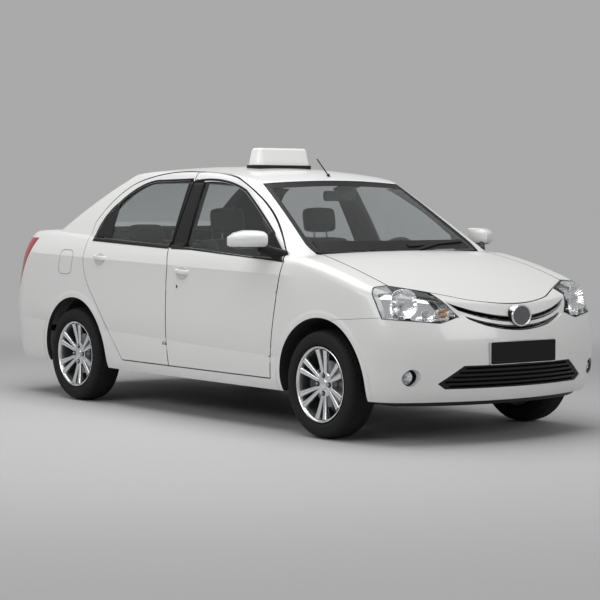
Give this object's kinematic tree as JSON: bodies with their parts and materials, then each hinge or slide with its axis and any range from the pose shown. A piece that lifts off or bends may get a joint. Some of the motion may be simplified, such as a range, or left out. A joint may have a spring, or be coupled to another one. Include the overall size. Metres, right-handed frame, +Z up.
{
  "type": "four-door taxi saloon",
  "caption": "Compact four-door saloon taxi with a blank roof sign, hinged doors and lids, steered front wheels and a fitted cabin.",
  "frame": {"origin": "on the ground under the middle of the car's box", "axes": "+X forward along the car, +Y to the car's left, +Z up"},
  "size_m": [4.2586, 1.996, 1.626],
  "materials": {
    "paint": "gloss",
    "bare_metal": "satin",
    "cast": "matte",
    "alloy": "satin",
    "tyre": "matte",
    "glass": "gloss",
    "lamp": "gloss",
    "tail_lens": "gloss",
    "black_plastic": "matte",
    "bright_trim": "gloss",
    "sign": "gloss",
    "trim_plastic": "matte",
    "seat_cloth": "matte",
    "steel_pipe": "satin"
  },
  "bodies": {
    "body": {"side_frames": "paint", "roof_panel": "paint", "deck_panel": "paint", "front_wings": "paint", "front_bumper": "paint", "rear_bumper": "paint", "floor_pan": "bare_metal", "cowl": "black_plastic", "headlamps": "lamp", "fog_lamps": "lamp", "front_plate": "black_plastic", "upper_grille": "bright_trim", "lower_grille": "black_plastic", "tail_lamps": "tail_lens", "windscreen": "glass", "rear_window": "glass", "front_subframe": "cast", "engine_block": "cast", "radiator": "alloy", "rear_axle": "cast", "fuel_tank": "black_plastic", "exhaust": "steel_pipe", "dashboard": "trim_plastic", "steering_wheel": "trim_plastic", "front_seats": "seat_cloth", "rear_seat": "seat_cloth", "cabin_mirror": "trim_plastic", "roof_sign": "sign", "roof_sign_base": "black_plastic", "roof_aerial": "black_plastic", "wiper": "black_plastic"},
    "front_door_right": {"front_door_right": "paint", "front_glass_right": "glass", "mirror_right": "paint"},
    "rear_door_right": {"rear_door_right": "paint", "rear_glass_right": "glass"},
    "knuckle_right": {"knuckle_right": "cast"},
    "wheel_front_right": {"tyre_front_right": "tyre", "rim_front_right": "alloy"},
    "wheel_rear_right": {"tyre_rear_right": "tyre", "rim_rear_right": "alloy"},
    "front_door_left": {"front_door_left": "paint", "front_glass_left": "glass", "mirror_left": "paint"},
    "rear_door_left": {"rear_door_left": "paint", "rear_glass_left": "glass"},
    "knuckle_left": {"knuckle_left": "cast"},
    "wheel_front_left": {"tyre_front_left": "tyre", "rim_front_left": "alloy"},
    "wheel_rear_left": {"tyre_rear_left": "tyre", "rim_rear_left": "alloy"},
    "bonnet": {"bonnet": "paint"},
    "boot_lid": {"boot_lid": "paint"}
  },
  "joints": [
    {"name": "front_door_right_hinge", "type": "hinge", "parent": "body", "child": "front_door_right", "pos_m": [0.91248, -0.826, 0.45], "axis": [0.1544, 0, 0.988], "range_deg": [0, 60]},
    {"name": "rear_door_right_hinge", "type": "hinge", "parent": "body", "child": "rear_door_right", "pos_m": [-0.1255, -0.834, 0.45], "axis": [0, 0, 1], "range_deg": [0, 60]},
    {"name": "steer_right", "type": "hinge", "parent": "body", "child": "knuckle_right", "pos_m": [1.3755, -0.672, 0.185], "axis": [0, 0.1876, 0.9822], "range_deg": [-35, 35]},
    {"name": "wheel_front_right_spin", "type": "hinge", "parent": "knuckle_right", "child": "wheel_front_right", "pos_m": [1.3755, -0.74, 0.3], "axis": [0, 1, 0], "continuous": true},
    {"name": "wheel_rear_right_spin", "type": "hinge", "parent": "body", "child": "wheel_rear_right", "pos_m": [-1.1745, -0.74, 0.3], "axis": [0, 1, 0], "continuous": true},
    {"name": "front_door_left_hinge", "type": "hinge", "parent": "body", "child": "front_door_left", "pos_m": [0.91248, 0.826, 0.45], "axis": [-0.1544, 0, -0.988], "range_deg": [0, 60]},
    {"name": "rear_door_left_hinge", "type": "hinge", "parent": "body", "child": "rear_door_left", "pos_m": [-0.1255, 0.834, 0.45], "axis": [0, 0, -1], "range_deg": [0, 60]},
    {"name": "steer_left", "type": "hinge", "parent": "body", "child": "knuckle_left", "pos_m": [1.3755, 0.672, 0.185], "axis": [0, -0.1876, 0.9822], "range_deg": [-35, 35]},
    {"name": "wheel_front_left_spin", "type": "hinge", "parent": "knuckle_left", "child": "wheel_front_left", "pos_m": [1.3755, 0.74, 0.3], "axis": [0, 1, 0], "continuous": true},
    {"name": "wheel_rear_left_spin", "type": "hinge", "parent": "body", "child": "wheel_rear_left", "pos_m": [-1.1745, 0.74, 0.3], "axis": [0, 1, 0], "continuous": true},
    {"name": "bonnet_hinge", "type": "hinge", "parent": "body", "child": "bonnet", "pos_m": [1.1125, 0, 0.991], "axis": [0, -1, 0], "range_deg": [0, 45]},
    {"name": "boot_lid_hinge", "type": "hinge", "parent": "body", "child": "boot_lid", "pos_m": [-1.7305, 0, 1.092], "axis": [0, 1, 0], "range_deg": [0, 58]}
  ],
  "couplings": [
    {"joint": "steer_left", "follows": "steer_right", "ratio": 1}
  ]
}
